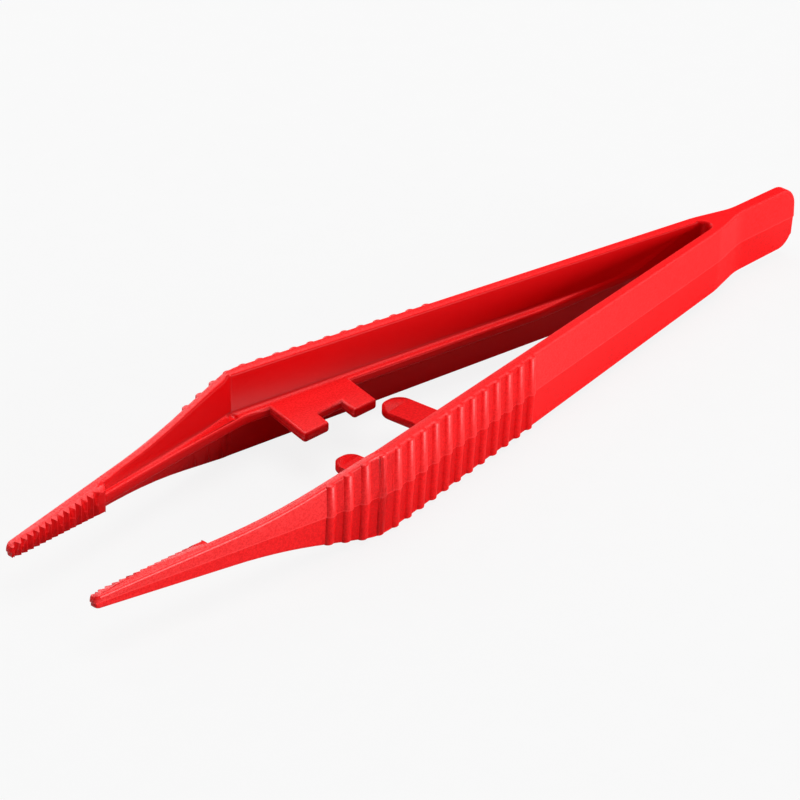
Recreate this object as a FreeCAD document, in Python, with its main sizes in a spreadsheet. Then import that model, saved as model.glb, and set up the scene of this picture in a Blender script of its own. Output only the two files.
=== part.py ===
"""One-piece moulded tweezers lying on their side: two ribbed T-section arms, toothed tips, guides and head."""
import FreeCAD, Part
import math
import os
import Sketcher

# Independent sizes, millimetres and degrees. Stations "from the tip" run along the length.
SIZES = {
    "length": 130.0,
    "tip_half_width": 7.9,
    "knee_from_tip": 40.3,
    "knee_half_width": 13.6,
    "knee_round": 9.0,
    "neck_from_tip": 112.5,
    "neck_half_width": 2.66,
    "neck_round": 10.0,
    "head_from_tip": 118.3,
    "head_half_thickness": 1.1,
    "draft_angle": 2.5,
    "parting_step": 0.12,
    "parting_end_step": 0.26,
    "nose_half_height": 0.95,
    "nose_round": 0.85,
    "taper_from_tip": 24.4,
    "taper_half_height": 2.4,
    "taper_round": 72.0,
    "crown_from_tip": 38.4,
    "crown_half_height": 5.68,
    "crown_round": 6.0,
    "head_half_height": 4.38,
    "head_corner_round": 2.6,
    "outer_edge_round": 0.4,
    "rib_pitch": 2.49,
    "rib_radius": 0.75,
    "rib_height": 0.3,
    "rib_top_drop": 0.45,
    "rib_foot": 0.6,
    "rib_first_from_tip": 31.95,
    "rib_tip_pitch": 2.457,
    "rib_back_first_from_tip": 41.8,
    "bite_tip_half_gap": 6.4,
    "bite_back_half_gap": 7.75,
    "block_from_tip": 15.6,
    "block_end_round": 0.8,
    "pocket_half_gap": 8.75,
    "inner_knee_from_tip": 38.7,
    "inner_knee_half_gap": 11.95,
    "inner_knee_round": 2.0,
    "inner_apex_from_tip": 119.2,
    "crotch_round": 1.13,
    "inner_edge_bevel": 0.35,
    "tooth_pitch": 0.973,
    "tooth_depth": 0.62,
    "tooth_flat": 0.12,
    "tooth_overrun": 0.05,
    "groove_first_from_tip": 1.0,
    "web_half_thickness": 0.69,
    "web_edge_round": 0.4,
    "web_tip_half_gap": 7.8,
    "web_waist_from_tip": 27.5,
    "web_waist_half_gap": 9.05,
    "web_waist_round": 20.0,
    "web_knee_from_tip": 39.5,
    "web_knee_half_gap": 9.93,
    "web_knee_round": 6.0,
    "web_back_from_tip": 84.5,
    "web_back_half_gap": 3.42,
    "web_back_round": 6.0,
    "web_end_from_tip": 102.3,
    "guide_lean": 0.19,
    "fork_from_tip": 41.2,
    "fork_width": 12.2,
    "fork_tip_prong": 4.2,
    "fork_head_prong": 3.9,
    "fork_end_half_gap": 2.0,
    "fork_notch_half_gap": 4.65,
    "fork_corner_round": 0.45,
    "tongue_clearance": 0.1,
    "tongue_thickness": 1.15,
    "tongue_edge_round": 0.3,
    "tongue_lean": 0.125,
    "head_tongue_from_tip": 56.48,
    "head_tongue_width": 4.3,
    "head_tongue_round": 1.9,
    "head_tongue_reach": 2.73,
    "tip_tongue_from_tip": 42.3,
    "tip_tongue_width": 3.6,
    "tip_tongue_round": 1.5,
    "tip_tongue_reach": -2.85,
    "pin_mark_from_tip": 37.9,
    "pin_mark_half_gap": 10.8,
    "pin_mark_radius": 0.7,
    "pin_mark_depth": 0.07,
}
TOOTH_COUNT = 14
TIP_RIBS = 4
BACK_RIBS = 12


class Size:
    """A length that carries both its spreadsheet expression and its present value."""

    def __init__(self, text, value):
        self.text = text
        self.value = value

    @staticmethod
    def of(other):
        return other if isinstance(other, Size) else Size(repr(float(other)), float(other))

    def __add__(self, other):
        other = Size.of(other)
        return Size(f"({self.text} + {other.text})", self.value + other.value)

    def __sub__(self, other):
        other = Size.of(other)
        return Size(f"({self.text} - {other.text})", self.value - other.value)

    def __mul__(self, other):
        other = Size.of(other)
        return Size(f"{self.text} * {other.text}", self.value * other.value)

    def __truediv__(self, other):
        other = Size.of(other)
        return Size(f"{self.text} / {other.text}", self.value / other.value)

    def __neg__(self):
        return Size(f"-{self.text}", -self.value)


doc = FreeCAD.newDocument("tweezers")
sheet = doc.addObject("Spreadsheet::Sheet", "Dims")
for row, (name, number) in enumerate(SIZES.items(), start=1):
    sheet.set(f"A{row}", name)
    sheet.set(f"B{row}", str(number))
    sheet.setAlias(f"B{row}", name)
doc.recompute()
D = {name: Size(f"Dims.{name}", number) for name, number in SIZES.items()}

body = doc.addObject("PartDesign::Body", "tweezers")
body.Label = "tweezers"
guides = doc.addObject("PartDesign::Body", "guides")


def origin_part(owner, role):
    return next(feature for feature in owner.Origin.OriginFeatures if feature.Role == role)


def station(from_tip):
    """Position along the length, measured from the middle of the part."""
    return from_tip - D["length"] / 2


def new_sketch(owner, name, plane="XY_Plane", height=None):
    sketch = owner.newObject("Sketcher::SketchObject", name)
    sketch.AttachmentSupport = (origin_part(owner, plane), [""])
    sketch.MapMode = "FlatFace"
    if height is not None:
        sketch.setExpression("AttachmentOffset.Base.z", height.text)
    return sketch


def pin(sketch, element, point, x, y):
    """Fix one sketch point by its two driven coordinates."""
    for kind, size in (("DistanceX", x), ("DistanceY", y)):
        index = sketch.addConstraint(Sketcher.Constraint(kind, -1, 1, element, point, size.value))
        sketch.setExpression(f"Constraints[{index}]", size.text)


def outline(sketch, corners):
    """Closed outline through (x, y, radius) corners; a corner with a radius becomes a tangent arc."""
    count = len(corners)
    spots = [FreeCAD.Vector(x.value, y.value, 0) for x, y, _ in corners]
    starts = []
    ends = []
    arcs = {}
    for i, (_, _, radius) in enumerate(corners):
        before = (spots[i - 1] - spots[i]).normalize()
        after = (spots[(i + 1) % count] - spots[i]).normalize()
        if radius is None:
            ends.append(spots[i])
            starts.append(spots[i])
            continue
        half = before.getAngle(after) / 2
        reach = radius.value / math.tan(half)
        centre = spots[i] + (before + after).normalize() * (radius.value / math.sin(half))
        middle = centre + (spots[i] - centre).normalize() * radius.value
        ends.append(spots[i] + before * reach)
        starts.append(spots[i] + after * reach)
        arcs[i] = Part.Arc(ends[i], middle, starts[i])
    lines = [sketch.addGeometry(Part.LineSegment(starts[i], ends[(i + 1) % count])) for i in range(count)]
    for i, (x, y, radius) in enumerate(corners):
        before = lines[i - 1]
        after = lines[i]
        if radius is None:
            sketch.addConstraint(Sketcher.Constraint("Coincident", before, 2, after, 1))
            pin(sketch, after, 1, x, y)
            continue
        arc = sketch.addGeometry(arcs[i])
        turn = (spots[i] - spots[i - 1]).cross(spots[(i + 1) % count] - spots[i]).z
        first, last = (1, 2) if turn > 0 else (2, 1)
        sketch.addConstraint(Sketcher.Constraint("Tangent", before, 2, arc, first))
        sketch.addConstraint(Sketcher.Constraint("Tangent", after, 1, arc, last))
        index = sketch.addConstraint(Sketcher.Constraint("Radius", arc, radius.value))
        sketch.setExpression(f"Constraints[{index}]", radius.text)
        corner = sketch.addGeometry(Part.Point(spots[i]), True)
        sketch.addConstraint(Sketcher.Constraint("PointOnObject", corner, 1, before))
        sketch.addConstraint(Sketcher.Constraint("PointOnObject", corner, 1, after))
        pin(sketch, corner, 1, x, y)
    return lines


def expect_valid(feature):
    if feature.Shape.isNull() or not feature.Shape.isValid():
        raise RuntimeError(f"{feature.Name} has no valid shape")


def drive(feature, **sizes):
    for name, size in sizes.items():
        feature.setExpression(name, size.text)


def both_sides(points, apex=()):
    """A half outline on the far side, an optional corner on the centre line, and the near mirror image."""
    return points + list(apex) + [(x, -y, radius) for x, y, radius in reversed(points)]


def edges_where(feature, test):
    """Names of the feature's edges whose middle point passes the test."""
    names = []
    for number, edge in enumerate(feature.Shape.Edges, start=1):
        middle = edge.valueAt((edge.FirstParameter + edge.LastParameter) / 2)
        if test(middle, edge):
            names.append(f"Edge{number}")
    return names


# Solid blank: outer faces in two drafted halves that meet at the parting plane.
def blank_half(name, inset, ends, upward):
    sketch = new_sketch(body, f"{name}_outline")
    far = [
        (D["length"] / 2 + ends, D["head_half_thickness"] - inset, None),
        (station(D["head_from_tip"]), D["head_half_thickness"] - inset, None),
        (station(D["neck_from_tip"]), D["neck_half_width"] - inset, None),
        (station(D["knee_from_tip"]), D["knee_half_width"] - inset, None),
        (-D["length"] / 2 - ends, D["tip_half_width"] - inset, None),
    ]
    outline(sketch, both_sides(far))
    pad = body.newObject("PartDesign::Pad", name)
    pad.Profile = sketch
    pad.Reversed = not upward
    drive(pad, Length=D["crown_half_height"] + 1.0)
    sketch.Visibility = False
    doc.recompute()
    drafted = body.newObject("PartDesign::Draft", f"{name}_draft")
    drafted.Base = (pad, side_faces(pad, upward))
    drafted.NeutralPlane = (origin_part(body, "XY_Plane"), [""])
    drafted.Reversed = not upward
    drive(drafted, Angle=D["draft_angle"])
    doc.recompute()
    return drafted


def side_faces(feature, upward):
    """Names of the upright faces that look away from the centre line, above or below the parting plane."""
    names = []
    for number, face in enumerate(feature.Shape.Faces, start=1):
        centre = face.CenterOfMass
        if abs(face.normalAt(0, 0).y) > 0.5 and (centre.z > 0.5) == upward:
            names.append(f"Face{number}")
    return names


level = Size.of(0.0)
step = D["parting_step"]
upper_blank = blank_half("upper_blank", level, D["outer_edge_round"], True)
expect_valid(upper_blank)
lower_blank = blank_half("lower_blank", step, -D["parting_end_step"], False)
expect_valid(lower_blank)


def upright_near(from_tip):
    """Test for the outer upright edges at one station."""
    x = station(from_tip).value
    return lambda middle, edge: abs(middle.x - x) < 0.5 and abs(middle.z) > 1.0 and edge.Length > 4.0


def round_edges(owner, name, base, test, radius):
    feature = owner.newObject("PartDesign::Fillet", name)
    feature.Base = (base, edges_where(base, test))
    drive(feature, Radius=radius)
    doc.recompute()
    return feature


knee_rounds = round_edges(body, "knee_rounds", lower_blank, upright_near(D["knee_from_tip"]), D["knee_round"])
neck_rounds = round_edges(body, "neck_rounds", knee_rounds, upright_near(D["neck_from_tip"]), D["neck_round"])
head_rounds = round_edges(body, "head_rounds", neck_rounds, upright_near(D["head_from_tip"]), D["neck_round"])

# Side profile: everything above the crown line goes, and the same below.
margin = Size.of(2.0)
tip_end = -D["length"] / 2
head_end = D["length"] / 2


def profile(sketch, turn, drop):
    """Waste above (1) or below (-1) the side profile, which is lowered by the drop."""
    outline(sketch, [
        (tip_end - margin, level, None),
        (tip_end, level, None),
        (tip_end, (D["nose_half_height"] - drop) * turn, D["nose_round"] - drop),
        (station(D["taper_from_tip"]), (D["taper_half_height"] - drop) * turn, D["taper_round"]),
        (station(D["crown_from_tip"]), (D["crown_half_height"] - drop) * turn, D["crown_round"]),
        (head_end, (D["head_half_height"] - drop) * turn, D["head_corner_round"]),
        (head_end, level, None),
        (head_end + margin, level, None),
        (head_end + margin, (D["crown_half_height"] + margin * 2) * turn, None),
        (tip_end - margin, (D["crown_half_height"] + margin * 2) * turn, None),
    ])


def pocket_through(owner, name, sketch):
    pocket = owner.newObject("PartDesign::Pocket", name)
    pocket.Profile = sketch
    pocket.Type = "ThroughAll"
    pocket.SideType = "Symmetric"
    sketch.Visibility = False
    doc.recompute()
    return pocket


def add_circle(sketch, x, y, radius):
    circle = sketch.addGeometry(Part.Circle(FreeCAD.Vector(x.value, y.value, 0), FreeCAD.Vector(0, 0, 1), radius.value))
    pin(sketch, circle, 3, x, y)
    index = sketch.addConstraint(Sketcher.Constraint("Radius", circle, radius.value))
    sketch.setExpression(f"Constraints[{index}]", radius.text)


def line_at(x, x_one, y_one, x_two, y_two):
    """Height at x of the straight line through two corners."""
    return y_one + (x - x_one) * (y_two - y_one) / (x_two - x_one)


relief_sketch = new_sketch(body, "side_relief_outline", "XZ_Plane")
profile(relief_sketch, 1.0, level)
profile(relief_sketch, -1.0, level)
relief = pocket_through(body, "side_relief", relief_sketch)


def is_outer_rim(middle, edge):
    """Rims of the crown faces; the rounding runs on around the nose and the head corners by itself."""
    direction = edge.tangentAt((edge.FirstParameter + edge.LastParameter) / 2)
    clear_of_ends = abs(middle.x) < D["length"].value / 2 - 1.0
    return clear_of_ends and abs(middle.y) > 0.4 and abs(middle.z) > 0.3 and abs(direction.z) < 0.9


outer_rounds = round_edges(body, "outer_rounds", relief, is_outer_rim, D["outer_edge_round"])
expect_valid(outer_rounds)


# Space between the arms: bite faces, the step behind the tip blocks, the knees and the crotch.
def bite(from_tip):
    return line_at(from_tip, level, D["bite_tip_half_gap"], D["block_from_tip"], D["bite_back_half_gap"])


def inner_wall(from_tip):
    return line_at(from_tip, D["inner_knee_from_tip"], D["inner_knee_half_gap"], D["inner_apex_from_tip"], level)


gap_sketch = new_sketch(body, "gap_outline")
outline(gap_sketch, both_sides([
    (tip_end - margin, bite(-margin), None),
    (station(D["block_from_tip"]), D["bite_back_half_gap"], D["block_end_round"]),
    (station(D["block_from_tip"]), D["pocket_half_gap"], None),
    (station(D["inner_knee_from_tip"]), D["inner_knee_half_gap"], D["inner_knee_round"]),
], [(station(D["inner_apex_from_tip"]), level, D["crotch_round"])]))
gap = pocket_through(body, "gap", gap_sketch)
expect_valid(gap)


def inside_walls(middle, clearance):
    """True for a point between the inner walls of the two arms, head side of the tip blocks."""
    from_tip = Size.of(middle.x) + D["length"] / 2
    wall = line_at(from_tip, D["block_from_tip"], D["pocket_half_gap"],
                   D["inner_knee_from_tip"], D["inner_knee_half_gap"])
    wall = min(wall.value, inner_wall(from_tip).value)
    return abs(middle.y) < wall + clearance and from_tip.value > D["block_from_tip"].value


def inner_rim(side):
    """Test for the inner rims of the crown faces above (1) or below (-1), head side of the tip blocks."""
    start = station(D["block_from_tip"]).value + 0.1

    def test(middle, edge):
        direction = edge.tangentAt((edge.FirstParameter + edge.LastParameter) / 2)
        level_edge = abs(direction.z) < 0.9 and side * middle.z > 1.2
        return level_edge and middle.x > start and inside_walls(middle, 0.1)

    return test


def bevel(name, base, side):
    feature = body.newObject("PartDesign::Chamfer", name)
    feature.Base = (base, edges_where(base, inner_rim(side)))
    drive(feature, Size=D["inner_edge_bevel"])
    doc.recompute()
    return feature


upper_bevel = bevel("upper_bevel", gap, 1)
expect_valid(upper_bevel)
lower_bevel = bevel("lower_bevel", upper_bevel, -1)
expect_valid(lower_bevel)


# Gripping teeth: a row of grooves across each bite face.
def teeth():
    sketch = new_sketch(body, "teeth_outline")
    overrun = D["tooth_overrun"]
    half = (D["tooth_pitch"] - D["tooth_flat"]) / 2 * (overrun / D["tooth_depth"] + 1.0)
    for i in range(TOOTH_COUNT):
        middle = D["groove_first_from_tip"] + D["tooth_pitch"] * i
        for side in (1.0, -1.0):
            outline(sketch, [
                (station(middle - half), (bite(middle - half) - overrun) * side, None),
                (station(middle + half), (bite(middle + half) - overrun) * side, None),
                (station(middle), (bite(middle) + D["tooth_depth"]) * side, None),
            ])
    return pocket_through(body, "teeth", sketch)


def secant(slope):
    """Length of a slanted line per unit of its run."""
    return Size(f"sqrt(1 + ({slope.text}) ^ 2)", math.hypot(1.0, slope.value))


grooves = teeth()
expect_valid(grooves)


# Grip ribs: rods sunk in the outer faces, leaning with the draft of each half, with rounded ends.
def grip_half(name, inset, turn):
    grips = doc.addObject("PartDesign::Body", name)
    sketch = new_sketch(grips, f"{name}_outline")
    sketch.AttachmentOffset = FreeCAD.Placement(FreeCAD.Vector(), FreeCAD.Rotation(FreeCAD.Vector(1, 0, 0), turn))
    sketch.setExpression("AttachmentOffset.Rotation.Angle", (D["draft_angle"] * turn).text)
    sketch.setExpression("AttachmentOffset.Base.z", (D["rib_foot"] * -turn).text)
    tip_slope = (D["knee_half_width"] - D["tip_half_width"]) / D["knee_from_tip"]
    back_slope = (D["neck_half_width"] - D["knee_half_width"]) / (D["neck_from_tip"] - D["knee_from_tip"])
    rows = (
        (TIP_RIBS, D["rib_first_from_tip"], D["rib_tip_pitch"], tip_slope),
        (BACK_RIBS, D["rib_back_first_from_tip"], D["rib_pitch"], back_slope),
    )
    for count, first, pitch, slope in rows:
        for i in range(count):
            from_tip = first + pitch * i
            y = D["knee_half_width"] + slope * (from_tip - D["knee_from_tip"]) - inset * secant(slope)
            add_circle(sketch, station(from_tip), y, D["rib_radius"])
    rods = grips.newObject("PartDesign::Pad", f"{name}_rods")
    rods.Profile = sketch
    rods.Reversed = turn < 0
    drive(rods, Length=D["crown_half_height"] + margin)
    sketch.Visibility = False
    doc.recompute()
    expect_valid(rods)

    trim_sketch = new_sketch(grips, f"{name}_trim_outline", "XZ_Plane")
    profile(trim_sketch, turn, D["rib_top_drop"])
    trimmed = pocket_through(grips, f"{name}_trim", trim_sketch)
    expect_valid(trimmed)

    both = grips.newObject("PartDesign::Mirrored", f"{name}_near")
    both.TransformMode = "Whole shape"
    both.MirrorPlane = (origin_part(grips, "XZ_Plane"), [""])
    grips.Tip = both
    doc.recompute()
    expect_valid(both)
    return grips


sink = D["rib_radius"] - D["rib_height"]
upper_grips = grip_half("upper_grips", sink, 1.0)
lower_grips = grip_half("lower_grips", sink + step, -1.0)


# Guide plates in the parting plane: a web along each arm, the fork on the far one, tongues on the near one.
def mid_wall(from_tip):
    outer = line_at(from_tip, D["knee_from_tip"], D["knee_half_width"], D["neck_from_tip"], D["neck_half_width"])
    return (inner_wall(from_tip) + outer) / 2


def web_outline(name, side, fork):
    """Outline of one web from the tip block to where it runs out in the arm, with any fork corners between."""
    start = D["block_from_tip"] - 1.0
    end = D["web_end_from_tip"] + 1.0
    sketch = new_sketch(guides, f"{name}_outline")
    corners = [
        (start, D["web_tip_half_gap"], None),
        (D["web_waist_from_tip"], D["web_waist_half_gap"], D["web_waist_round"]),
        (D["web_knee_from_tip"], D["web_knee_half_gap"], D["web_knee_round"]),
        *fork,
        (D["web_back_from_tip"], D["web_back_half_gap"], D["web_back_round"]),
        (D["web_end_from_tip"], inner_wall(D["web_end_from_tip"]), None),
        (end, mid_wall(end), None),
        (D["knee_from_tip"], mid_wall(D["knee_from_tip"]), None),
        (start, D["pocket_half_gap"] + 0.6, None),
    ]
    outline(sketch, [(station(x), y * side, radius) for x, y, radius in corners])
    return sketch


def plate(name, sketch, thickness, symmetric=False, downward=False):
    pad = guides.newObject("PartDesign::Pad", name)
    pad.Profile = sketch
    pad.Reversed = downward
    if symmetric:
        pad.SideType = "Symmetric"
    drive(pad, Length=thickness)
    sketch.Visibility = False
    doc.recompute()
    return pad


def fork_side(offset, half_gap):
    """Corner on a leaning side of the fork at a distance from the centre line."""
    return D["fork_from_tip"] + offset + half_gap * D["guide_lean"]


def fork_root(offset):
    """Corner where a leaning side of the fork meets the web edge."""
    slope = (D["web_back_half_gap"] - D["web_knee_half_gap"]) / (D["web_back_from_tip"] - D["web_knee_from_tip"])
    run = D["fork_from_tip"] + offset - D["web_knee_from_tip"]
    y = (D["web_knee_half_gap"] + slope * run) / (Size.of(1.0) - slope * D["guide_lean"])
    return fork_side(offset, y), y, None


def fork_corner(offset, half_gap, radius):
    return fork_side(offset, half_gap), half_gap, radius


notch_start = D["fork_tip_prong"]
notch_end = D["fork_width"] - D["fork_head_prong"]
fork = [
    fork_root(level),
    fork_corner(level, D["fork_end_half_gap"], D["fork_corner_round"]),
    fork_corner(notch_start, D["fork_end_half_gap"], D["fork_corner_round"]),
    fork_corner(notch_start, D["fork_notch_half_gap"], None),
    fork_corner(notch_end, D["fork_notch_half_gap"], None),
    fork_corner(notch_end, D["fork_end_half_gap"], D["fork_corner_round"]),
    fork_corner(D["fork_width"], D["fork_end_half_gap"], D["fork_corner_round"]),
    fork_root(D["fork_width"]),
]
far_web = plate("far_web", web_outline("far_web", 1.0, fork), D["web_half_thickness"] * 2.0, symmetric=True)
expect_valid(far_web)
near_web = plate("near_web", web_outline("near_web", -1.0, []), D["web_half_thickness"] * 2.0, symmetric=True)
expect_valid(near_web)


def is_web_rim(middle, edge):
    on_face = abs(abs(middle.z) - D["web_half_thickness"].value) < 0.01
    return on_face and edge.Length > 0.05 and inside_walls(middle, -0.1)


web_rounds = round_edges(guides, "web_rounds", near_web, is_web_rim, D["web_edge_round"])
expect_valid(web_rounds)


# Tongues: they pass under the opposite fork when the arms close, so they hang just below the near web.
def tongue(name, from_tip, width, reach, radius):
    top = -(D["web_half_thickness"] + D["tongue_clearance"])
    root = -mid_wall(from_tip)
    sketch = new_sketch(guides, f"{name}_outline", height=top)
    outline(sketch, [
        (station(from_tip - width / 2 - reach * D["tongue_lean"]), reach, radius),
        (station(from_tip + width / 2 - reach * D["tongue_lean"]), reach, radius),
        (station(from_tip + width / 2 - root * D["tongue_lean"]), root, None),
        (station(from_tip - width / 2 - root * D["tongue_lean"]), root, None),
    ])
    return plate(name, sketch, D["tongue_thickness"], downward=True)


head_tongue = tongue("head_tongue", D["head_tongue_from_tip"], D["head_tongue_width"], D["head_tongue_reach"],
                     D["head_tongue_round"])
expect_valid(head_tongue)
tip_tongue = tongue("tip_tongue", D["tip_tongue_from_tip"], D["tip_tongue_width"], D["tip_tongue_reach"],
                    D["tip_tongue_round"])
expect_valid(tip_tongue)


def is_tongue_rim(middle, edge):
    bottom = D["web_half_thickness"] + D["tongue_clearance"] + D["tongue_thickness"]
    return abs(middle.z + bottom.value) < 0.01 and inside_walls(middle, -0.1)


tongue_rounds = round_edges(guides, "tongue_rounds", tip_tongue, is_tongue_rim, D["tongue_edge_round"])
expect_valid(tongue_rounds)


# Roots that tie the tongues to the underside of the web.
def tongue_root(name, from_tip, width):
    web_edge = line_at(from_tip, D["web_knee_from_tip"], D["web_knee_half_gap"],
                       D["web_back_from_tip"], D["web_back_half_gap"])
    near = -(web_edge + D["web_edge_round"])
    far = -mid_wall(from_tip)
    sketch = new_sketch(guides, f"{name}_outline", height=-(D["web_half_thickness"] + D["tongue_thickness"]))
    outline(sketch, [
        (station(from_tip - width / 2 - near * D["tongue_lean"]), near, None),
        (station(from_tip + width / 2 - near * D["tongue_lean"]), near, None),
        (station(from_tip + width / 2 - far * D["tongue_lean"]), far, None),
        (station(from_tip - width / 2 - far * D["tongue_lean"]), far, None),
    ])
    return plate(name, sketch, D["tongue_thickness"] + D["web_half_thickness"] / 2)


head_root = tongue_root("head_tongue_root", D["head_tongue_from_tip"], D["head_tongue_width"])
expect_valid(head_root)
tip_root = tongue_root("tip_tongue_root", D["tip_tongue_from_tip"], D["tip_tongue_width"])
expect_valid(tip_root)

joined = body.newObject("PartDesign::Boolean", "joined")
joined.Type = "Fuse"
joined.addObjects([upper_grips, lower_grips, guides])
doc.recompute()
expect_valid(joined)

# Shallow round marks left by the ejector pins on the web tops.
marks_sketch = new_sketch(body, "pin_marks_outline", height=D["web_half_thickness"])
for side in (1.0, -1.0):
    add_circle(marks_sketch, station(D["pin_mark_from_tip"]), D["pin_mark_half_gap"] * side, D["pin_mark_radius"])
pin_marks = body.newObject("PartDesign::Pocket", "pin_marks")
pin_marks.Profile = marks_sketch
drive(pin_marks, Length=D["pin_mark_depth"])
marks_sketch.Visibility = False

# The part lies on its lower crown faces, so the parting plane stands half the crown height up.
body.setExpression("Placement.Base.z", D["crown_half_height"].text)
body.Tip = pin_marks
doc.recompute()
expect_valid(pin_marks)

for feature in doc.Objects:
    if "Invalid" in feature.State or "Error" in feature.State:
        raise RuntimeError(f"{feature.Name} is not up to date: {feature.State}")
    shape = getattr(feature, "Shape", None)
    if shape is not None and feature.isDerivedFrom("PartDesign::Feature"):
        if shape.isNull() or not shape.isValid():
            raise RuntimeError(f"{feature.Name} has no valid shape")
if len(body.Shape.Solids) != 1:
    raise RuntimeError("the part is not one solid")

os.makedirs("parts", exist_ok=True)
body.Shape.exportStep("parts/tweezers.step")
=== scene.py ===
"""Looks of the moulded plastic tweezers: smooth skin, full grip ribs, grained plastic and a studio."""

import math

import bpy
from bpy.props import FloatProperty, FloatVectorProperty, PointerProperty
from mathutils import Matrix, Vector


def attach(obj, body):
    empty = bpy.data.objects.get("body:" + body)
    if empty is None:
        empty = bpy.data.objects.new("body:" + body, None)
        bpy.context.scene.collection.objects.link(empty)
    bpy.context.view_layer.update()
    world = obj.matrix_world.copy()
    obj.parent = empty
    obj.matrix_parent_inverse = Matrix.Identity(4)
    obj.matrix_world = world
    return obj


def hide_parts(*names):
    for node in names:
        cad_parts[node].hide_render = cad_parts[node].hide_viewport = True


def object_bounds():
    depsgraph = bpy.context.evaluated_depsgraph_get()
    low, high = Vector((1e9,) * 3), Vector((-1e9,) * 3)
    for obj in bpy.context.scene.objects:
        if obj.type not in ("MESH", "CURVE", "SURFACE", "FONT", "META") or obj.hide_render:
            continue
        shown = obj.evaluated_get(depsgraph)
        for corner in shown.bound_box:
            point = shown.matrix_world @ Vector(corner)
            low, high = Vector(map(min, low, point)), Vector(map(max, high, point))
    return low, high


bl_info = {
    "name": "Moulded tweezers",
    "version": (1, 0, 0),
    "blender": (4, 5, 0),
    "location": "3D View > Sidebar > Tweezers",
    "description": "Dresses the one-piece plastic tweezers and sets up their studio",
    "category": "Object",
}

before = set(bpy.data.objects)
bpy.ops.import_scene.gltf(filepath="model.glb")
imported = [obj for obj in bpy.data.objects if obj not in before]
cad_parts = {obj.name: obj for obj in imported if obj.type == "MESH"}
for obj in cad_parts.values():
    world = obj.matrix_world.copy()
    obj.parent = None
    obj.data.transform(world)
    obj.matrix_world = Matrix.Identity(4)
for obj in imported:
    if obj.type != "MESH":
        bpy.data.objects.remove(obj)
CAD_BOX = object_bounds()
LOW, HIGH = (Vector(corner) for corner in CAD_BOX)
PARTING_HEIGHT = (LOW.z + HIGH.z) / 2
TIP_END = -0.065
KNEE_FROM_TIP = 0.0403
KNEE_HALF_WIDTH = 0.0136
DRAFT_SLOPE = math.tan(math.radians(2.5))
PARTING_STEP = 0.00012
CROWN_FROM_TIP = 0.0384
CROWN_HALF_HEIGHT = 0.00568
CROWN_TIP_SLOPE = 0.2343
CROWN_HEAD_SLOPE = -0.0142
TIP_RIBS = {"count": 4, "first": 0.03195, "pitch": 0.002457, "slope": 0.1414}
BACK_RIBS = {"count": 12, "first": 0.0418, "pitch": 0.00249, "slope": -0.1515}
RIB_RADIUS = 0.00078
BITE_END_FROM_TIP = 0.0156
BITE_HALF_GAP = 0.0064
BITE_SLOPE = 0.0865
TOOTH_DEPTH = 0.00062
BLOCK_HALF_HEIGHT = 0.00095
BLOCK_HEIGHT_SLOPE = 0.0594
NOSE_LENGTH = 0.0022
NOSE_MIDDLE = 0.00715
NOSE_CUTS = (0.15, 0.3, 0.45, 0.6, 0.75, 0.9)
NOSE_REACH = NOSE_LENGTH * 1.5
NOSE_NARROWING = 0.8
NOSE_FLATTENING = 0.3
RIM_TOLERANCE = 0.00012
SKIN_SMOOTH_ANGLE = math.radians(28.0)
RIB_SMOOTH_ANGLE = math.radians(50.0)
RIB_SEGMENTS = 16
RIB_RINGS = 12
CAMERA_PLACE = Vector((-0.28015, -0.25868, 0.22400))
CAMERA_RIGHT = Vector((0.70040, -0.71335, 0.02376))
CAMERA_UP = Vector((0.34432, 0.36685, 0.86422))
LAMPS = {
    "top": ((0.05, 0.05, 0.75), 0.7),
    "head": ((0.68, -0.25, 0.28), 0.4),
    "front": ((0.24, -0.69, 0.14), 0.3),
    "back": ((0.10, 0.65, 0.35), 0.5),
}


class Wire:
    """One shader socket; arithmetic on it adds Math nodes."""

    def __init__(self, tree, socket):
        self.tree = tree
        self.socket = socket

    def maths(self, operation, *values):
        return self.tree.add("ShaderNodeMath", {"operation": operation}, dict(enumerate(values)))

    def __add__(self, other):
        return self.maths("ADD", self, other)

    def __radd__(self, other):
        return self.maths("ADD", other, self)

    def __sub__(self, other):
        return self.maths("SUBTRACT", self, other)

    def __rsub__(self, other):
        return self.maths("SUBTRACT", other, self)

    def __mul__(self, other):
        return self.maths("MULTIPLY", self, other)

    def __rmul__(self, other):
        return self.maths("MULTIPLY", other, self)

    def __neg__(self):
        return self.maths("MULTIPLY", self, -1.0)

    def __abs__(self):
        return self.maths("ABSOLUTE", self)

    def sign(self):
        return self.maths("SIGN", self)

    def clamped(self):
        return self.tree.add("ShaderNodeClamp", {}, {"Value": self})

    def ramp(self, low, high, start=0.0, end=1.0):
        """Smooth change from start to end as the value passes from low to high."""
        sockets = {"Value": self, "From Min": low, "From Max": high, "To Min": start, "To Max": end}
        return self.tree.add("ShaderNodeMapRange", {"interpolation_type": "SMOOTHSTEP"}, sockets)


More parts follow.
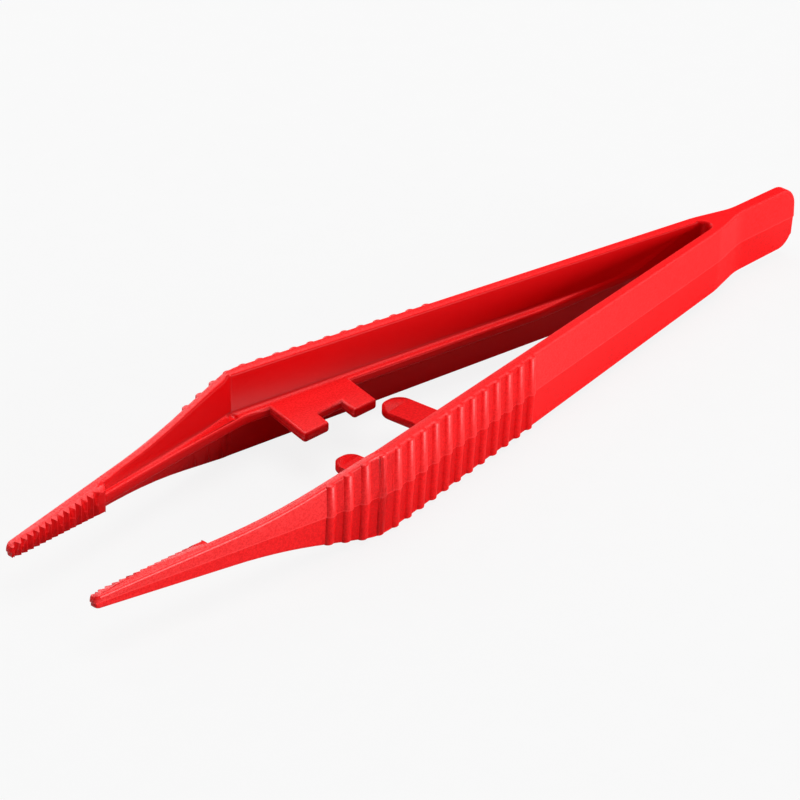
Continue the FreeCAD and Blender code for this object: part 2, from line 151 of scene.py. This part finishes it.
class Tree:
    """The node tree of one material or of the world."""

    def __init__(self, owner):
        owner.use_nodes = True
        self.nodes = owner.node_tree.nodes
        self.links = owner.node_tree.links
        self.nodes.clear()

    def add(self, kind, settings, sockets, output=0):
        """Add a node, apply its settings, then feed its sockets, and return one of its outputs."""
        node = self.nodes.new(kind)
        for name, value in settings.items():
            setattr(node, name, value)
        for name, value in sockets.items():
            if isinstance(value, Wire):
                self.links.new(value.socket, node.inputs[name])
            else:
                node.inputs[name].default_value = value
        return Wire(self, node.outputs[output]) if node.outputs else None

    def mixed(self, factor, one, two):
        """Blend of two colours."""
        return self.add("ShaderNodeMix", {"data_type": "RGBA"}, {0: factor, 6: one, 7: two}, 2)

    def noise(self, place, size, detail=2.0, roughness=0.5):
        """Noise whose features are about the given size in metres."""
        sockets = {"Vector": place, "Scale": 1.0 / size, "Detail": detail, "Roughness": roughness}
        return self.add("ShaderNodeTexNoise", {}, sockets)


def red_plastic(look, name, rib_hollow_shade_strength):
    """Moulded red plastic, sandy outside; painted shade on inner walls, rib hollows and lower half; painted
    highlight on edges and parting line.
    """
    material = bpy.data.materials.new(name)
    tree = Tree(material)
    place = tree.add("ShaderNodeTexCoord", {}, {}, "Object")
    across = tree.add("ShaderNodeSeparateXYZ", {}, {0: place}, "Y")
    height = tree.add("ShaderNodeSeparateXYZ", {}, {0: place}, "Z")
    along = tree.add("ShaderNodeSeparateXYZ", {}, {0: place}, "X")
    normal = tree.add("ShaderNodeNewGeometry", {}, {}, "Normal")
    facing = tree.add("ShaderNodeSeparateXYZ", {}, {0: normal}, "Y")

    # inner marks the inner walls: their base colour is darkened as painted shade, and they are smoother, with
    # less grain and sheen.
    inner = (-(facing * across.sign())).ramp(0.5, 0.8)
    # lower marks the lower mould half: its base colour is darkened as painted shade and its sheen is weaker.
    lower = (height - PARTING_HEIGHT).ramp(-0.0003, 0.0, 1.0, 0.0)
    soft_normal = tree.add("ShaderNodeBevel", {"samples": 4}, {"Radius": look.edge_round})
    dot = {"operation": "DOT_PRODUCT"}
    # edge marks every edge: there the base colour pales as a painted highlight and the roughness drops.
    edge = tree.add("ShaderNodeVectorMath", dot, {0: soft_normal, 1: normal}, "Value").ramp(0.97, 0.85)

    # Painted shade in the hollows between the grip ribs on the outer faces, as strong as the last argument of
    # this function; it darkens the base colour and weakens the sheen.
    first_rib = TIP_END + TIP_RIBS["first"]
    last_rib = TIP_END + BACK_RIBS["first"] + BACK_RIBS["pitch"] * (BACK_RIBS["count"] - 1)
    ribbed = along.ramp(first_rib - 0.0002, first_rib) * along.ramp(last_rib, last_rib + 0.0002, 1.0, 0.0)
    below_crown = abs(height - PARTING_HEIGHT).ramp(0.0049, 0.0054, 1.0, 0.0)
    rib_hollow_shade = ribbed * below_crown * (1.0 - inner) * abs(facing).ramp(0.6, 0.9) * rib_hollow_shade_strength

    grain = tree.noise(place, look.grain_size, 3.0, 0.6)
    pits = tree.noise(place, look.grain_size * 1.7, 2.0, 0.5)
    flow = tree.noise(place, 0.012, 2.0, 0.5)
    speckle = (grain * 0.7 + pits * 0.3).ramp(0.38, 0.62)
    # A painted highlight along the parting line on the outer faces.
    parting_highlight = abs(height - PARTING_HEIGHT).ramp(0.00005, 0.00014, 1.0, 0.0) * (1.0 - inner)

    # red is the plastic's own colour; the darker colour carries random grain tone and painted shade, and the
    # pale colour carries the painted highlights.
    red = tuple(look.colour) + (1.0,)
    deep_tone_and_shade = tuple(channel * 0.6 for channel in look.colour) + (1.0,)
    pale = tuple(min(1.0, channel * 1.08 + 0.03) for channel in look.colour) + (1.0,)
    lighter = (speckle * 0.45 + flow * 0.2) * (1.0 - inner)
    # Random grain and flow set the tone; the lower half, the rib hollows and the inner walls are darkened as
    # painted shade.
    tone_and_shade = 0.55 + lighter - lower * 0.25 - rib_hollow_shade * 0.5 - inner * 0.4
    body = tree.mixed(tone_and_shade.clamped(), deep_tone_and_shade, red)
    body = tree.mixed((edge * 0.35 + parting_highlight * 0.8).clamped(), body, pale)

    roughness = look.roughness + (speckle - 0.5) * 0.12 - inner * 0.08 - edge * 0.06
    sand = (grain * 0.7 + pits * 0.3) * (1.0 - inner * 0.75)
    # Painted light: the sheen is strongest at the tips and weakest at the head, standing in for how the lamps
    # lit the arms.
    sheen_light_ramp = along.ramp(LOW.x, HIGH.x, 1.3, 0.45)
    sheen = look.sheen * (1.0 - inner * 0.95) * (1.0 - lower * 0.6) * (1.0 - rib_hollow_shade * 0.6)
    sheen = sheen * (0.7 + speckle * 0.6) * sheen_light_ramp
    bumps = {"Strength": 0.5, "Distance": look.grain_depth, "Height": sand, "Normal": soft_normal}
    relief = tree.add("ShaderNodeBump", {}, bumps)
    plastic = tree.add("ShaderNodeBsdfPrincipled", {}, {
        "Base Color": body,
        "Roughness": roughness,
        "Normal": relief,
        "IOR": 1.49,
        "Specular IOR Level": look.depth_gloss,
        "Coat Weight": sheen,
        "Coat Roughness": look.sheen_roughness,
    })
    tree.add("ShaderNodeOutputMaterial", {}, {"Surface": plastic})
    return material


def floor_paper(stage):
    """Pale paper that the camera sees near white, with the shadow kept."""
    material = bpy.data.materials.new("floor_paper")
    tree = Tree(material)
    place = tree.add("ShaderNodeTexCoord", {}, {}, "Object")
    fibre = tree.noise(place, 0.004, 3.0, 0.6)
    tone = tree.mixed(fibre.ramp(0.3, 0.7), (0.50, 0.50, 0.50, 1.0), (0.52, 0.52, 0.52, 1.0))
    paper = tree.add("ShaderNodeBsdfDiffuse", {}, {"Color": tone})
    white = tree.add("ShaderNodeEmission", {}, {"Color": (1.0, 1.0, 1.0, 1.0), "Strength": 1.0})
    seen = tree.add("ShaderNodeLightPath", {}, {}, "Is Camera Ray")
    shown = tree.add("ShaderNodeMixShader", {}, {0: seen * stage.floor_white, 1: paper, 2: white})
    tree.add("ShaderNodeOutputMaterial", {}, {"Surface": shown})
    return material


def white_world(stage):
    """Even light for the object and a plain white behind it."""
    world = bpy.data.worlds.new("studio")
    tree = Tree(world)
    grey = (1.0, 1.0, 1.0, 1.0)
    light = tree.add("ShaderNodeBackground", {}, {"Color": grey, "Strength": stage.sky})
    white = tree.add("ShaderNodeBackground", {}, {"Color": grey, "Strength": 1.0})
    seen = tree.add("ShaderNodeLightPath", {}, {}, "Is Camera Ray")
    shown = tree.add("ShaderNodeMixShader", {}, {0: seen, 1: light, 2: white})
    tree.add("ShaderNodeOutputWorld", {}, {"Surface": shown})
    return world


def only(obj):
    """Make one object the whole selection."""
    bpy.ops.object.select_all(action="DESELECT")
    obj.select_set(True)
    bpy.context.view_layer.objects.active = obj


def copy_of_node(name, piece_name):
    """A copy of a CAD node with its own mesh, its loose triangles joined up."""
    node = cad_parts[name]
    only(node)
    bpy.ops.object.duplicate()
    piece = bpy.context.view_layer.objects.active
    piece.name = piece_name
    bpy.ops.object.mode_set(mode="EDIT")
    bpy.ops.mesh.select_all(action="SELECT")
    bpy.ops.mesh.remove_doubles(threshold=1e-7)
    bpy.ops.object.mode_set(mode="OBJECT")
    return piece


def pick(piece, test, mode="VERT"):
    """Select the vertices or faces whose middle passes the test, and stay in edit mode."""
    bpy.ops.object.mode_set(mode="EDIT")
    bpy.ops.mesh.select_mode(type=mode)
    bpy.ops.mesh.select_all(action="DESELECT")
    bpy.ops.object.mode_set(mode="OBJECT")
    if mode == "VERT":
        for vertex in piece.data.vertices:
            vertex.select = test(vertex.co)
    else:
        for face in piece.data.polygons:
            face.select = test(face.center)
    bpy.ops.object.mode_set(mode="EDIT")


def slope_tooth_tops(piece, lean):
    """Let the crest of each tooth fall away from the crown of the tip block, on both arms, above and below."""
    along_bite = Vector((1.0, BITE_SLOPE, 0.0)).normalized()
    for side in (-1.0, 1.0):
        valley = Vector((TIP_END, side * (BITE_HALF_GAP + TOOTH_DEPTH), 0.0))
        across_bite = Vector((-along_bite.y, side * along_bite.x, 0.0))
        pick(piece, lambda spot: spot.x < TIP_END + BITE_END_FROM_TIP and spot.y * side > 0.0, "FACE")
        bpy.ops.mesh.bisect(plane_co=valley, plane_no=across_bite, use_fill=False)
        bpy.ops.object.mode_set(mode="OBJECT")

    def is_crest_rim(spot):
        from_tip = spot.x - TIP_END
        crest = BITE_HALF_GAP + BITE_SLOPE * from_tip + TOOTH_DEPTH / 2
        rim = BLOCK_HALF_HEIGHT + BLOCK_HEIGHT_SLOPE * from_tip - RIM_TOLERANCE
        on_block = from_tip < BITE_END_FROM_TIP and abs(spot.y) < crest
        return on_block and abs(spot.z - PARTING_HEIGHT) > rim

    pick(piece, is_crest_rim)
    bpy.ops.transform.resize(value=(1.0, 1.0, lean), center_override=(0.0, 0.0, PARTING_HEIGHT))
    bpy.ops.object.mode_set(mode="OBJECT")


def round_noses(piece):
    """Draw the end of each arm together into a rounded nose."""
    for side in (-1.0, 1.0):
        for share in NOSE_CUTS:
            cut = Vector((TIP_END + NOSE_LENGTH * share, 0.0, 0.0))
            pick(piece, lambda spot: spot.x < TIP_END + NOSE_REACH and spot.y * side > 0.0, "FACE")
            bpy.ops.mesh.bisect(plane_co=cut, plane_no=(1.0, 0.0, 0.0), use_fill=False)
            bpy.ops.object.mode_set(mode="OBJECT")
        for vertex in piece.data.vertices:
            lean = 1.0 - (vertex.co.x - TIP_END) / NOSE_LENGTH
            if lean > 0.0 and vertex.co.y * side > 0.0:
                middle = side * NOSE_MIDDLE
                vertex.co.y = middle + (vertex.co.y - middle) * math.sqrt(1.0 - NOSE_NARROWING * lean * lean)
                flatter = math.sqrt(1.0 - NOSE_FLATTENING * lean * lean)
                vertex.co.z = PARTING_HEIGHT + (vertex.co.z - PARTING_HEIGHT) * flatter


def rib_rod(height, look):
    """A leaning half rod with a domed top, standing on the parting plane at the origin."""
    bpy.ops.mesh.primitive_uv_sphere_add(segments=RIB_SEGMENTS, ring_count=RIB_RINGS, radius=RIB_RADIUS)
    rod = bpy.context.view_layer.objects.active
    flat = RIB_RADIUS * 0.01
    pick(rod, lambda spot: spot.z < -flat)
    bpy.ops.transform.resize(value=(1.0, 1.0, 0.0), center_override=(0.0, 0.0, 0.0))
    bpy.ops.object.mode_set(mode="OBJECT")
    pick(rod, lambda spot: spot.z > flat)
    bpy.ops.transform.resize(value=(1.0, 1.0, look.rib_dome / RIB_RADIUS), center_override=(0.0, 0.0, 0.0))
    rise = height - look.rib_dome
    bpy.ops.transform.translate(value=(0.0, -DRAFT_SLOPE * rise, rise))
    bpy.ops.object.mode_set(mode="OBJECT")
    return rod


def lamp(name, place, size, power, target=(0.0, 0.0, 0.005)):
    """A square soft box that points at the object."""
    bpy.ops.object.light_add(type="AREA", location=place)
    light = bpy.context.view_layer.objects.active
    light.name = name
    light.data.size = size
    light.data.energy = power
    light.rotation_euler = (Vector(target) - Vector(place)).to_track_quat("-Z", "Y").to_euler()
    return light


class TweezersLook(bpy.types.PropertyGroup):
    """Finish of the plastic."""

    colour: FloatVectorProperty(
        name="Colour", description="Colour of the plastic", subtype="COLOR", size=3, min=0.0, max=1.0,
        default=(0.95, 0.0010, 0.003),
    )
    roughness: FloatProperty(
        name="Roughness", description="Roughness of the outer faces", subtype="FACTOR",
        min=0.0, max=1.0, default=0.48,
    )
    depth_gloss: FloatProperty(
        name="Depth gloss", description="Reflection of the plastic under its skin", subtype="FACTOR",
        min=0.0, max=1.0, default=0.08,
    )
    sheen: FloatProperty(
        name="Sheen", description="Weight of the pale sheen on the outer faces", subtype="FACTOR",
        min=0.0, max=1.0, default=0.72,
    )
    sheen_roughness: FloatProperty(
        name="Sheen roughness", description="Roughness of the pale sheen", subtype="FACTOR",
        min=0.0, max=1.0, default=0.42,
    )
    grain_size: FloatProperty(
        name="Grain size", description="Size of one grain of the sandy skin", unit="LENGTH", default=0.00022,
    )
    grain_depth: FloatProperty(
        name="Grain depth", description="Depth of the sandy skin", unit="LENGTH", default=0.00004,
    )
    tooth_lean: FloatProperty(
        name="Tooth lean", description="Height of a tooth's crest as a share of its root", subtype="FACTOR",
        min=0.1, max=1.0, default=0.75,
    )
    rib_proud: FloatProperty(
        name="Rib height", description="How far a rib stands out of the face", unit="LENGTH", default=0.00042,
    )
    rib_dome: FloatProperty(
        name="Rib dome", description="Height of the rounded end of a rib", unit="LENGTH", default=0.00032,
    )
    rib_drop: FloatProperty(
        name="Rib drop", description="Gap between a rib's top and the crown", unit="LENGTH", default=0.00005,
    )
    edge_round: FloatProperty(
        name="Edge rounding", description="Radius that the light sees on every edge", unit="LENGTH",
        default=0.00015,
    )


class TweezersStage(bpy.types.PropertyGroup):
    """Floor, lamps and camera."""

    floor_white: FloatProperty(
        name="Floor white", description="Share of plain white in the floor that the camera sees",
        subtype="FACTOR", min=0.0, max=1.0, default=0.86,
    )
    sky: FloatProperty(name="Sky", description="Strength of the even light all round", min=0.0, default=0.1)
    top_power: FloatProperty(name="Top lamp", description="Soft box above", unit="POWER", default=5.2)
    head_power: FloatProperty(
        name="Head lamp", description="Soft box off the head end", unit="POWER", default=1.3,
    )
    front_power: FloatProperty(name="Front lamp", description="Soft box in front", unit="POWER", default=4.8)
    back_power: FloatProperty(name="Back lamp", description="Soft box behind", unit="POWER", default=2.4)
    lens: FloatProperty(name="Lens", description="Focal length of the camera in millimetres", default=161.33)


class TWEEZERS_OT_moulding(bpy.types.Operator):
    """Make the smooth-shaded skin of the whole moulding"""

    bl_idname = "tweezers.moulding"
    bl_label = "Moulding"

    def execute(self, context):
        look = context.scene.tweezers_look
        piece = copy_of_node("tweezers", "tweezers_moulding")
        slope_tooth_tops(piece, look.tooth_lean)
        round_noses(piece)
        bpy.ops.object.shade_smooth_by_angle(angle=SKIN_SMOOTH_ANGLE)
        bpy.ops.object.modifier_add(type="WEIGHTED_NORMAL")
        piece.modifiers[-1].keep_sharp = True
        bpy.ops.object.modifier_apply(modifier=piece.modifiers[-1].name)
        piece.data.materials.clear()
        piece.data.materials.append(red_plastic(look, "red_plastic", 1.0))
        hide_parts("tweezers")
        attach(piece, "root")
        return {"FINISHED"}


class TWEEZERS_OT_ribs(bpy.types.Operator):
    """Lay a fuller rib with a domed end over each low rib of both arms"""

    bl_idname = "tweezers.ribs"
    bl_label = "Grip ribs"

    def execute(self, context):
        look = context.scene.tweezers_look
        rods = []
        for row in (TIP_RIBS, BACK_RIBS):
            for number in range(row["count"]):
                from_tip = row["first"] + row["pitch"] * number
                past_crown = from_tip - CROWN_FROM_TIP
                crown_slope = CROWN_TIP_SLOPE if past_crown < 0.0 else CROWN_HEAD_SLOPE
                height = CROWN_HALF_HEIGHT + crown_slope * past_crown - look.rib_drop
                face = KNEE_HALF_WIDTH + row["slope"] * (from_tip - KNEE_FROM_TIP)
                reach = min(face + look.rib_proud, HIGH.y)
                rod = rib_rod(height, look)
                for side in (-1.0, 1.0):
                    for turn in (-1.0, 1.0):
                        only(rod)
                        bpy.ops.object.duplicate()
                        half = bpy.context.view_layer.objects.active
                        inset = PARTING_STEP if turn < 0.0 else 0.0
                        across = side * (reach - RIB_RADIUS - inset)
                        half.location = (TIP_END + from_tip, across, PARTING_HEIGHT)
                        half.scale = (1.0, side, turn)
                        rods.append(half)
                bpy.data.objects.remove(rod)
        only(rods[0])
        for rod in rods:
            rod.select_set(True)
        bpy.ops.object.transform_apply(location=True, rotation=True, scale=True)
        bpy.ops.object.join()
        piece = bpy.context.view_layer.objects.active
        piece.name = "tweezers_ribs"
        bpy.ops.object.mode_set(mode="EDIT")
        bpy.ops.mesh.select_all(action="SELECT")
        bpy.ops.mesh.normals_make_consistent(inside=False)
        bpy.ops.object.mode_set(mode="OBJECT")
        bpy.context.scene.cursor.location = (0.0, 0.0, 0.0)
        bpy.ops.object.origin_set(type="ORIGIN_CURSOR")
        bpy.ops.object.shade_smooth_by_angle(angle=RIB_SMOOTH_ANGLE)
        piece.data.materials.append(red_plastic(look, "red_plastic_ribs", 0.0))
        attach(piece, "root")
        return {"FINISHED"}


class TWEEZERS_OT_stage(bpy.types.Operator):
    """Lay the floor, hang the lamps and set the camera"""

    bl_idname = "tweezers.stage"
    bl_label = "Stage"

    def execute(self, context):
        stage = context.scene.tweezers_stage
        bpy.ops.object.select_all(action="DESELECT")
        bpy.ops.mesh.primitive_plane_add(size=6.0, location=(0.0, 0.0, LOW.z))
        floor = bpy.context.view_layer.objects.active
        floor.name = "floor"
        floor.data.materials.append(floor_paper(stage))

        for name, (place, size) in LAMPS.items():
            lamp(f"{name}_lamp", place, size, getattr(stage, f"{name}_power"))

        context.scene.world = white_world(stage)
        context.scene.view_settings.view_transform = "Standard"

        turn = Matrix((CAMERA_RIGHT, CAMERA_UP, CAMERA_RIGHT.cross(CAMERA_UP))).transposed()
        bpy.ops.object.camera_add(location=CAMERA_PLACE, rotation=turn.to_euler())
        camera = bpy.context.view_layer.objects.active
        camera.data.sensor_width = 36.0
        camera.data.lens = stage.lens
        context.scene.camera = camera
        return {"FINISHED"}


class TWEEZERS_PT_panel(bpy.types.Panel):
    """Settings and steps of the tweezers"""

    bl_idname = "TWEEZERS_PT_panel"
    bl_label = "Moulded tweezers"
    bl_space_type = "VIEW_3D"
    bl_region_type = "UI"
    bl_category = "Tweezers"

    def draw(self, context):
        column = self.layout.column()
        for group in (context.scene.tweezers_look, context.scene.tweezers_stage):
            for name in group.__annotations__:
                column.prop(group, name)
        for step in STEPS:
            column.operator(step.bl_idname)


STEPS = (TWEEZERS_OT_moulding, TWEEZERS_OT_ribs, TWEEZERS_OT_stage)
CLASSES = (TweezersLook, TweezersStage, *STEPS, TWEEZERS_PT_panel)


def register():
    for kind in CLASSES:
        bpy.utils.register_class(kind)
    bpy.types.Scene.tweezers_look = PointerProperty(type=TweezersLook)
    bpy.types.Scene.tweezers_stage = PointerProperty(type=TweezersStage)


def unregister():
    del bpy.types.Scene.tweezers_stage
    del bpy.types.Scene.tweezers_look
    for kind in reversed(CLASSES):
        bpy.utils.unregister_class(kind)


def main():
    register()
    bpy.ops.tweezers.moulding()
    bpy.ops.tweezers.ribs()
    bpy.ops.tweezers.stage()


if __name__ == "__main__":
    main()
